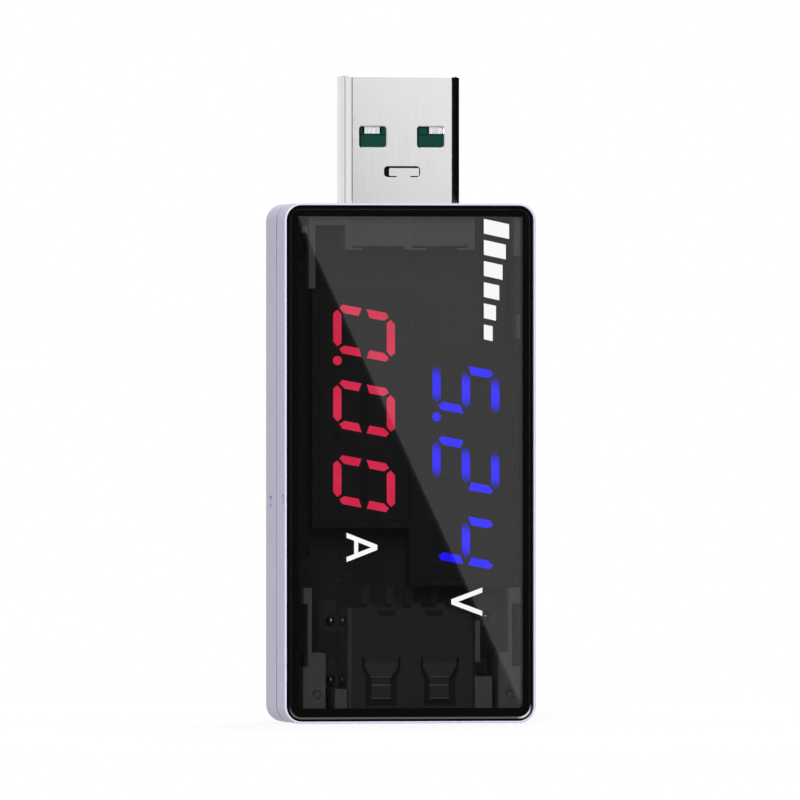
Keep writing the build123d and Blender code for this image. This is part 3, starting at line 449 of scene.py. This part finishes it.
def green_moulding():
    """Dark green moulding of the plug. The relief slots in its front and the lock's pocket carry painted
    shade.
    """
    g = Graph("insulator_green")
    y, z = g.axes()[1:]
    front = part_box("plug_insulator")[0].y
    grain = g.noise(0.14, 3.0)
    face = g.mix(g.noise(1.1, 3.0), (0.0018, 0.040, 0.029), (0.0030, 0.056, 0.042))
    in_slot = g.math("MULTIPLY", g.span(y, front + 0.40 * MM, front + 0.55 * MM),
                     g.span(y, front + 1.52 * MM, front + 1.56 * MM, 1.0, 0.0))
    lock_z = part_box("plug_shell")[1].z - LOCK_DROP
    off_lock = g.math("ABSOLUTE", g.math("SUBTRACT", z, lock_z))
    in_pocket = g.math("MULTIPLY", g.span(off_lock, 0.70 * MM, 0.74 * MM, 1.0, 0.0),
                       g.span(y, front, front + 0.05 * MM))
    # Painted shade: near black in the relief slots and the lock's pocket.
    shade = g.math("MAXIMUM", in_slot, in_pocket)
    g.feed("Base Color", g.mix(shade, face, (0.0004, 0.0012, 0.0010)))
    g.feed("Roughness", g.span(grain, 0.25, 0.75, 0.3, 0.44))
    g.bump(grain, 0.006, 0.6)
    g.set(Specular_IOR_Level=0.1)
    return g.material


def contact_plate():
    """Plug contacts: gold flash on the sliding faces, bare tin-nickel on the anchor tabs in front."""
    g = Graph("contact_plate")
    _, y, _ = g.axes()
    tab_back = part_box("plug_contact_vbus")[0].y + 0.35 * MM
    gold = g.span(y, tab_back, tab_back + 0.1 * MM, smooth=False)
    lines = g.noise(0.3, 4.0, 0.6, g.stretched((1.0, 1.0, 0.08)))
    g.feed("Base Color", g.mix(gold, (0.80, 0.80, 0.80), (0.93, 0.69, 0.32)))
    g.feed("Roughness", g.span(lines, 0.3, 0.7, 0.20, 0.32))
    g.bump(lines, 0.001, 0.4)
    g.set(Metallic=1.0)
    return g.material


def shiny_solder():
    """Bright solder with dull, cloudy patches."""
    g = Graph("shiny_solder")
    clouds = g.noise(0.5, 4.0)
    g.feed("Base Color", g.mix(clouds, (0.66, 0.66, 0.65), (0.88, 0.88, 0.87)))
    g.feed("Roughness", g.span(clouds, 0.35, 0.7, 0.06, 0.26))
    g.bump(g.noise(0.25, 3.0), 0.012, 0.5)
    g.set(Metallic=1.0)
    return g.material


def make_materials():
    """Every finish by the record's slot name, and the ones that only the added pieces use."""
    return {
        "housing_plastic": housing_plastic(),
        "smoked_window": smoked_window(),
        "black_adhesive": plain_plastic("black_adhesive", (0.006, 0.006, 0.006), 0.8, 0.1, 0.01,
                                        specular=0.2),
        "holder_plastic": plain_plastic("holder_plastic", (0.075, 0.075, 0.077), 0.5, 0.15, 0.008,
                                        specular=0.3),
        "display_face": plain_plastic("display_face", (0.085, 0.085, 0.086), 0.5, 0.12, 0.004, specular=0.3),
        "segment_red": lit_segment("segment_red", (1.0, 0.035, 0.115), (0.90, 0.022, 0.085), 2.9),
        "segment_blue": lit_segment("segment_blue", (0.020, 0.010, 1.0), (0.010, 0.004, 0.90), 4.4),
        "segment_dark": dark_segment(),
        "board_black": board_mask(),
        "chip_black": plain_plastic("chip_black", (0.018, 0.018, 0.018), 0.6, 0.1, 0.006),
        "capacitor_body": plain_plastic("capacitor_body", (0.36, 0.24, 0.14), 0.45, 0.1, 0.004,
                                        variation=0.12),
        "tinned_metal": plated_metal("tinned_metal", (0.70, 0.70, 0.69), 0.14, dull_below=80 * MM),
        "nickel_plate": plated_metal("nickel_plate", (0.91, 0.908, 0.905), 0.14, 0.012, cell_mm=0.3,
                                     depth_mm=0.0001, dull_below=51 * MM),
        # The spring fingers' painted highlight lines sit at two bends and at the contact's tip.
        "spring_steel": plated_metal("spring_steel", (0.74, 0.74, 0.75), 0.12, dull_below=80 * MM,
                                     painted_glint_lines=mm(4.68, 3.83, 2.5)),
        "gold_plate": contact_plate(),
        "insulator_green": green_moulding(),
        "insulator_dark": plain_plastic("insulator_dark", (0.10, 0.103, 0.10), 0.45, 0.14, 0.006,
                                        specular=0.3),

        "pad_finish": plain_plastic("pad_finish", (0.21, 0.21, 0.208), 0.35, 0.12, 0.004),
        "faint_ink": plain_plastic("faint_ink", (0.17, 0.17, 0.17), 0.5, 0.12, 0.004),
        "white_ink": white_ink(),
        "border_ink": border_ink(),
        "edge_ink": edge_ink(),
        "shiny_solder": shiny_solder(),
    }


MATERIALS = make_materials()


def dress_cad_nodes():
    """Gives each CAD node the finish that its record slot names."""
    for entry in frame["record"]["subparts"]:
        slots = NODES[entry["node"]].material_slots
        slots[0].material = MATERIALS[entry["material_slot"]]


# ---------------------------------------------------------------- mesh helpers
def add_piece(name, mesh, finish):
    """Adds a named piece that rides the meter's body."""
    obj = bpy.data.objects.new(name, mesh)
    COLLECTION.objects.link(obj)
    mesh.materials.append(MATERIALS[finish])
    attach(obj, BODY)
    return obj


def slab(bm, points, y_front, y_back):
    """Adds a closed slab with a flat outline of (x, z) points, between two planes of constant y."""
    front = [bm.verts.new((x, y_front, z)) for x, z in points]
    back = [bm.verts.new((x, y_back, z)) for x, z in points]
    bm.faces.new(front)
    bm.faces.new(back[::-1])
    count = len(points)
    for i in range(count):
        j = (i + 1) % count
        bm.faces.new((front[i], back[i], back[j], front[j]))


def finish_mesh(bm, name, smooth=False):
    """Turns a bmesh into a mesh with its faces outwards."""
    bmesh.ops.recalc_face_normals(bm, faces=bm.faces)
    mesh = bpy.data.meshes.new(name)
    bm.to_mesh(mesh)
    bm.free()
    for polygon in mesh.polygons:
        polygon.use_smooth = smooth
    return mesh


def stroke(start, end, width):
    """Four corners of a straight stroke between two (x, z) points."""
    along = Vector((end[0] - start[0], end[1] - start[1])).normalized()
    side = Vector((-along.y, along.x)) * (width / 2)
    return [(start[0] + side.x, start[1] + side.y), (start[0] - side.x, start[1] - side.y),
            (end[0] - side.x, end[1] - side.y), (end[0] + side.x, end[1] + side.y)]


def rounded_outline(low, high, radius, steps=10):
    """Points (x, z) round a rectangle with rounded corners."""
    points = []
    corners = [(high[0] - radius, high[1] - radius, 0), (low[0] + radius, high[1] - radius, 90),
               (low[0] + radius, low[1] + radius, 180), (high[0] - radius, low[1] + radius, 270)]
    for cx, cz, start in corners:
        for i in range(steps + 1):
            a = math.radians(start + 90 * i / steps)
            points.append((cx + radius * math.cos(a), cz + radius * math.sin(a)))
    return points


def ring_slab(bm, outer, inner, y_front, y_back):
    """Closed frame between two outlines that have the same number of points."""
    loops = [[bm.verts.new((x, y, z)) for x, z in line] for y in (y_front, y_back) for line in (outer, inner)]
    outer_front, inner_front, outer_back, inner_back = loops
    count = len(outer)
    for i in range(count):
        j = (i + 1) % count
        bm.faces.new((outer_front[i], outer_front[j], inner_front[j], inner_front[i]))
        bm.faces.new((outer_back[i], inner_back[i], inner_back[j], outer_back[j]))
        bm.faces.new((outer_front[i], outer_back[i], outer_back[j], outer_front[j]))
        bm.faces.new((inner_front[i], inner_front[j], inner_back[j], inner_back[i]))


# ---------------------------------------------------------------- print on the window
def window_border():
    """Black border that is printed round the clear part of the window."""
    inset = BEVEL_W + 0.02 * MM
    low = (LENS_LOW.x + inset, LENS_LOW.z + inset)
    high = (LENS_HIGH.x - inset, LENS_HIGH.z - inset)
    bm = bmesh.new()
    ring_slab(bm, rounded_outline(low, high, LENS_R - inset), rounded_outline(CLEAR_LOW, CLEAR_HIGH, CLEAR_R),
              FRONT_Y - INK_T / 2, FRONT_Y + INK_T / 2)
    add_piece("window_border_print", finish_mesh(bm, "window_border_print"), "border_ink")


def window_edge():
    """Ink on the window's rounded edge, as a thin skin over it."""
    over, under = EDGE_R + 0.006 * MM, EDGE_R - 0.03 * MM
    turns = [math.radians(90 * i / 8) for i in range(9)]
    profile = [(over, a) for a in turns] + [(under, a) for a in reversed(turns)]
    bm = bmesh.new()
    loops = []
    for reach, a in profile:
        inset = EDGE_R - reach * math.cos(a)
        y = FRONT_Y + EDGE_R - reach * math.sin(a)
        low = (LENS_LOW.x + inset, LENS_LOW.z + inset)
        high = (LENS_HIGH.x - inset, LENS_HIGH.z - inset)
        loops.append([bm.verts.new((px, y, pz)) for px, pz in rounded_outline(low, high, LENS_R - inset, 14)])
    count = len(loops[0])
    for k, loop in enumerate(loops):
        after = loops[(k + 1) % len(loops)]
        for i in range(count):
            j = (i + 1) % count
            bm.faces.new((loop[i], loop[j], after[j], after[i]))
    mesh = finish_mesh(bm, "window_edge_print", smooth=True)
    add_piece("window_edge_print", mesh, "edge_ink")


def chevron(tip, foot, z_mid, half, tip_half, leg):
    """Two equal legs that meet at tip, as (x, z), and a function for the gap's half height at any x."""
    slope = (half - tip_half) / (tip - foot)
    inner_tip = foot + (half - leg) / slope
    points = [(foot, z_mid + half), (tip, z_mid + tip_half), (tip, z_mid - tip_half), (foot, z_mid - half),
              (foot, z_mid - half + leg), (inner_tip, z_mid), (foot, z_mid + half - leg)]
    return points, lambda x: half - leg - (x - foot) * slope


def unit_marks():
    """Unit marks beside the readouts, turned to read the same way as the digits."""
    y0, y1 = FRONT_Y - INK_T, FRONT_Y + INK_T / 2
    half, tip_half, leg = mm(1.48, 0.25, 0.5)
    tip, foot, z_mid = mm(-3.40, -6.56, 17.8)
    points, gap_half = chevron(tip, foot, z_mid, half, tip_half, leg)
    bar = (foot + 0.78 * MM, foot + 1.2 * MM)
    bm = bmesh.new()
    slab(bm, points, y0, y1)
    slab(bm, [(x, z_mid + side * gap_half(x)) for x, side in
              ((bar[0], -1), (bar[1], -1), (bar[1], 1), (bar[0], 1))], y0, y1)
    add_piece("unit_mark_amps", finish_mesh(bm, "unit_mark_amps"), "white_ink")

    tip, foot, z_mid = mm(4.2, 7.39, 12.28)
    points, _ = chevron(tip, foot, z_mid, half * 0.97, tip_half, leg)
    bm = bmesh.new()
    slab(bm, points, y0, y1)
    add_piece("unit_mark_volts", finish_mesh(bm, "unit_mark_volts"), "white_ink")


def level_bars():
    """Generic level mark above the voltage readout: slanted bars that grow towards the plug."""
    y0, y1 = FRONT_Y - INK_T, FRONT_Y + INK_T / 2
    x0, x1 = mm(7.55, 10.15)
    z = 38.3 * MM
    thickness, gap, slant = mm(1.5, 0.64, 0.55)
    bars = 6
    bm = bmesh.new()
    for i in range(bars):
        reach = x0 + (x1 - x0) * (0.35 + 0.65 * i / (bars - 1))
        drop = slant * (reach - x0) / (x1 - x0)
        slab(bm, [(x0, z + slant), (x0, z + slant + thickness), (reach, z + slant + thickness - drop),
                  (reach, z + slant - drop)], y0, y1)
        z += thickness + gap
    add_piece("level_mark", finish_mesh(bm, "level_mark"), "white_ink")


# ---------------------------------------------------------------- solder and board details
def islands(node):
    """Lowest and highest corners of each separate solid in a CAD node."""
    bm = bmesh.new()
    bm.from_mesh(NODES[node].data)
    bmesh.ops.remove_doubles(bm, verts=bm.verts, dist=0.002 * MM)
    left = set(bm.verts)
    boxes = []
    while left:
        stack = [left.pop()]
        seen = list(stack)
        while stack:
            for edge in stack.pop().link_edges:
                for v in edge.verts:
                    if v in left:
                        left.remove(v)
                        stack.append(v)
                        seen.append(v)
        boxes.append((Vector([min(v.co[i] for v in seen) for i in range(3)]),
                      Vector([max(v.co[i] for v in seen) for i in range(3)])))
    bm.free()
    return sorted(boxes, key=lambda b: (round(b[0].z, 5), round(b[0].x, 5)))


def solder_blobs():
    """Lumpy solder on the feet of the socket and the wings of the plug, in place of the plain domes."""
    bm = bmesh.new()
    for index, (low, high) in enumerate(islands("solder_joints")):
        middle = (low + high) / 2
        size = high - low
        behind = middle.y > BOARD_LOW.y
        foot, outwards = (low.y, 1.0) if behind else (high.y, -1.0)
        made = bmesh.ops.create_icosphere(bm, subdivisions=4, radius=1.0)
        for v in made["verts"]:
            p = v.co.copy()
            rise = max(p.y, 0.0)
            p *= 1.0 + 0.2 * noise.noise(p * 1.7 + Vector((index * 7.3, 0, 0)))
            spread = 1.0 - 0.3 * rise
            v.co = Vector((middle.x + p.x * size.x * 0.5 * spread, foot + outwards * rise * size.y * 0.95,
                           middle.z + p.z * size.z * 0.5 * spread))
    bmesh.ops.remove_doubles(bm, verts=bm.verts, dist=0.0005 * MM)
    mesh = finish_mesh(bm, "solder_blobs", smooth=True)
    blobs = add_piece("solder_blobs", mesh, "shiny_solder")
    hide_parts("solder_joints")


def board_marks():
    """Pads beside the solder and silk-screened corner marks on the board's face."""
    y0, y1 = BOARD_LOW.y - 0.02 * MM, BOARD_LOW.y + 0.01 * MM
    bm = bmesh.new()
    for low, high in islands("solder_joints"):
        middle = (low + high) / 2
        if middle.y > BOARD_LOW.y:
            continue
        half_x, half_z = mm(0.9, 1.55)
        outward = math.copysign(0.25 * MM, middle.x)
        x, z = middle.x + outward, middle.z + 0.5 * MM
        outline = rounded_outline((x - half_x, z - half_z), (x + half_x, z + half_z), 0.2 * MM, 4)
        slab(bm, outline, y0, y1)
    add_piece("board_pads", finish_mesh(bm, "board_pads"), "pad_finish")

    width = 0.14 * MM
    x0, x1 = SOCKET_LOW.x - 1.0 * MM, SOCKET_HIGH.x + 1.0 * MM
    top = SOCKET_HIGH.z + 3.0 * MM
    bm = bmesh.new()
    for x, inwards in ((x0, 1), (x1, -1)):
        slab(bm, stroke((x, top), (x + inwards * 1.4 * MM, top), width), y0, y1)
        slab(bm, stroke((x, top - width / 2), (x, top - 1.4 * MM), width), y0, y1)
    add_piece("board_silkscreen", finish_mesh(bm, "board_silkscreen"), "faint_ink")


# ---------------------------------------------------------------- floor, light and camera
YAW = math.radians(10.1)            # the camera stands to the left of the front's normal
CAMERA_DISTANCE = 1.5
TARGET = Vector(mm(-1.07, -6.0, 32.7))
VIEW_WIDTH = 80.9 * MM
SENSOR = 36.0
FLOOR_FADE = mm(20.0, 140.0)        # the floor fades out between these distances from the middle
FLOOR_CLEAR = 0.84                  # how clear the floor is in its middle
CARD_DISTANCE = 0.35
CARD_EDGES = mm(90.0, -12.0, 46.0)  # top, bottom and right edge, where they show in the window's plane
CARD_LEVEL = 0.82                   # the card's brightness below CARD_STEP, against 1.0 above it
CARD_STEP = mm(56.0, 74.0)


def make_camera():
    data = bpy.data.cameras.new("camera")
    data.sensor_width = SENSOR
    data.lens = SENSOR * CAMERA_DISTANCE / VIEW_WIDTH
    data.clip_start = 0.05
    data.clip_end = 20.0
    camera = bpy.data.objects.new("camera", data)
    COLLECTION.objects.link(camera)
    away = Vector((-math.sin(YAW), -math.cos(YAW), 0.0))
    camera.location = TARGET + away * CAMERA_DISTANCE
    camera.rotation_euler = (-away).to_track_quat("-Z", "Y").to_euler()
    bpy.context.scene.camera = camera
    return camera.location.copy()


def make_floor():
    """Round pale floor that fades out, so that it has no edge."""
    g = Graph("floor")
    g.tree.nodes.remove(g.shader)
    diffuse = g.add("ShaderNodeBsdfDiffuse")
    grain = g.noise(9.0, 2.0)
    g.link(g.mix(grain, (0.96, 0.96, 0.96), (0.98, 0.98, 0.98)), diffuse.inputs["Color"])
    clear = g.add("ShaderNodeBsdfTransparent")
    blend = g.add("ShaderNodeMixShader")
    length = g.add("ShaderNodeVectorMath", operation="LENGTH")
    g.link(g.place, length.inputs[0])
    g.link(g.span(length.outputs["Value"], *FLOOR_FADE, FLOOR_CLEAR, 1.0), blend.inputs["Fac"])
    g.link(diffuse.outputs["BSDF"], blend.inputs[1])
    g.link(clear.outputs["BSDF"], blend.inputs[2])
    output = next(n for n in g.tree.nodes if n.type == "OUTPUT_MATERIAL")
    g.link(blend.outputs["Shader"], output.inputs["Surface"])
    bm = bmesh.new()
    bmesh.ops.create_circle(bm, cap_ends=True, segments=96, radius=0.26)
    mesh = finish_mesh(bm, "floor")
    floor = bpy.data.objects.new("floor", mesh)
    floor.location.z = CAD_BOX[0].z - 0.00002
    COLLECTION.objects.link(floor)
    mesh.materials.append(g.material)
    floor.visible_glossy = False


def reflection_card(eye):
    """White card in front, to the right. The window mirrors it above a diagonal from corner to corner."""
    a, b = (CLEAR_LOW[0], CLEAR_HIGH[1]), (CLEAR_HIGH[0], CLEAR_LOW[1])

    def on_diagonal(z):
        return a[0] + (b[0] - a[0]) * (z - a[1]) / (b[1] - a[1])

    top, bottom, right = CARD_EDGES
    corners = [(on_diagonal(top), top), (right, top), (right, bottom), (on_diagonal(bottom), bottom)]
    mirrored_eye = Vector((eye.x, 2 * FRONT_Y - eye.y, eye.z))
    reach = 1.0 + CARD_DISTANCE / CAMERA_DISTANCE
    bm = bmesh.new()
    points = [mirrored_eye + (Vector((x, FRONT_Y, z)) - mirrored_eye) * reach for x, z in corners]
    bm.faces.new([bm.verts.new(p) for p in points])
    g = Graph("card")
    g.set(Base_Color=(0, 0, 0, 1), Specular_IOR_Level=0.0, Emission_Strength=1.0)
    level = g.span(g.axes()[2], *CARD_STEP, CARD_LEVEL, 1.0)
    g.feed("Emission Color", g.mix(level, (0.0, 0.0, 0.0), (1.0, 1.0, 1.0)))
    card = bpy.data.objects.new("reflection_card", finish_mesh(bm, "reflection_card"))
    COLLECTION.objects.link(card)
    card.data.materials.append(g.material)
    card.visible_camera = False
    card.visible_diffuse = False
    card.visible_shadow = False
    receivers = bpy.data.collections.new("card_receivers")
    for name in ("window_lens", "plug_shell", "plug_contact_vbus", "plug_contact_ground"):
        receivers.objects.link(NODES[name])
    card.light_linking.receiver_collection = receivers


def soft_light(name, place, size, power):
    """Round area light that faces the object."""
    data = bpy.data.lights.new(name, "AREA")
    data.shape = "DISK"
    data.size = size
    data.energy = power
    light = bpy.data.objects.new(name, data)
    light.location = place
    light.rotation_euler = (-Vector(place) + Vector((0, 0, 0.03))).to_track_quat("-Z", "Y").to_euler()
    COLLECTION.objects.link(light)
    return light


# Dark parts of the tent, as (start, end, softness) in degrees of azimuth, then how dark.
FLAG = (-3.5, 150.0, 2.0), 0.998
FLAG_LEVEL = (0.30, 0.45)           # the flag ends between these slopes of the view direction
STRUTS = [((-103.0, -76.0, 4.0), 0.3), ((-166.0, -152.0, 2.0), 0.35)]
TENT_LEVEL = 0.86
FILL_LEVEL, FILL_FROM_ABOVE = 0.25, 0.05


def make_world():
    """White tent with a black flag at eye level on the right, which shows only in reflections."""
    world = bpy.data.worlds.new("tent")
    world.use_nodes = True
    bpy.context.scene.world = world
    tree = world.node_tree
    tree.nodes.clear()

    def add(kind, **settings):
        node = tree.nodes.new(kind)
        for key, value in settings.items():
            setattr(node, key, value)
        return node

    def calc(operation, a, b=None):
        node = add("ShaderNodeMath", operation=operation)
        for i, value in enumerate((a, b)):
            if isinstance(value, (int, float)):
                node.inputs[i].default_value = value
            elif value is not None:
                tree.links.new(value, node.inputs[i])
        return node.outputs["Value"]

    def step(value, low, high):
        node = add("ShaderNodeMapRange", interpolation_type="SMOOTHSTEP")
        node.inputs["From Min"].default_value = low
        node.inputs["From Max"].default_value = high
        tree.links.new(value, node.inputs["Value"])
        return node.outputs["Result"]

    axes = add("ShaderNodeSeparateXYZ")
    tree.links.new(add("ShaderNodeTexCoord").outputs["Generated"], axes.inputs["Vector"])
    azimuth = calc("ARCTAN2", axes.outputs["X"], calc("MULTIPLY", axes.outputs["Y"], -1.0))
    level = calc("ABSOLUTE", axes.outputs["Z"])

    def between(value, start, end, soft):
        low, high, soft = math.radians(start), math.radians(end), math.radians(soft)
        return calc("MULTIPLY", step(value, low - soft, low + soft),
                    calc("SUBTRACT", 1.0, step(value, high - soft, high + soft)))

    flag = calc("MULTIPLY", between(azimuth, *FLAG[0]), calc("SUBTRACT", 1.0, step(level, *FLAG_LEVEL)))
    struts = calc("ADD", *[calc("MULTIPLY", between(azimuth, *arc), dark) for arc, dark in STRUTS])
    soft_box = calc("MULTIPLY", calc("SUBTRACT", TENT_LEVEL, struts),
                    calc("SUBTRACT", 1.0, calc("MULTIPLY", flag, FLAG[1])))
    paths = add("ShaderNodeLightPath")
    fill = calc("ADD", FILL_LEVEL, calc("MULTIPLY", axes.outputs["Z"], FILL_FROM_ABOVE))
    diffuse_part = calc("MULTIPLY", fill, paths.outputs["Is Diffuse Ray"])
    other_part = calc("MULTIPLY", soft_box, calc("SUBTRACT", 1.0, paths.outputs["Is Diffuse Ray"]))
    background = add("ShaderNodeBackground")
    tree.links.new(calc("ADD", diffuse_part, other_part), background.inputs["Strength"])
    background.inputs["Color"].default_value = (0.97, 0.98, 1.0, 1)
    white = add("ShaderNodeBackground")
    white.inputs["Strength"].default_value = 1.0
    white.inputs["Color"].default_value = (1, 1, 1, 1)
    choose = add("ShaderNodeMixShader")
    tree.links.new(paths.outputs["Is Camera Ray"], choose.inputs["Fac"])
    tree.links.new(background.outputs["Background"], choose.inputs[1])
    tree.links.new(white.outputs["Background"], choose.inputs[2])
    output = add("ShaderNodeOutputWorld")
    tree.links.new(choose.outputs["Shader"], output.inputs["Surface"])


def make_studio():
    eye = make_camera()
    make_floor()
    make_world()
    reflection_card(eye)
    key = soft_light("key", (-0.15, -0.55, 0.17), 0.30, 2.75)
    mirror_like = bpy.data.collections.new("unlit_by_key")
    mirror_like.objects.link(NODES["plug_shell"])
    mirror_like.collection_objects[0].light_linking.link_state = "EXCLUDE"
    key.light_linking.receiver_collection = mirror_like
    soft_light("top", (0.10, 0.05, 0.60), 0.35, 0.4)
    soft_light("back", (0.25, 0.50, 0.35), 0.30, 1.5)
    bpy.context.scene.view_settings.view_transform = "Standard"


dress_cad_nodes()
window_border()
window_edge()
unit_marks()
level_bars()
solder_blobs()
board_marks()
make_studio()
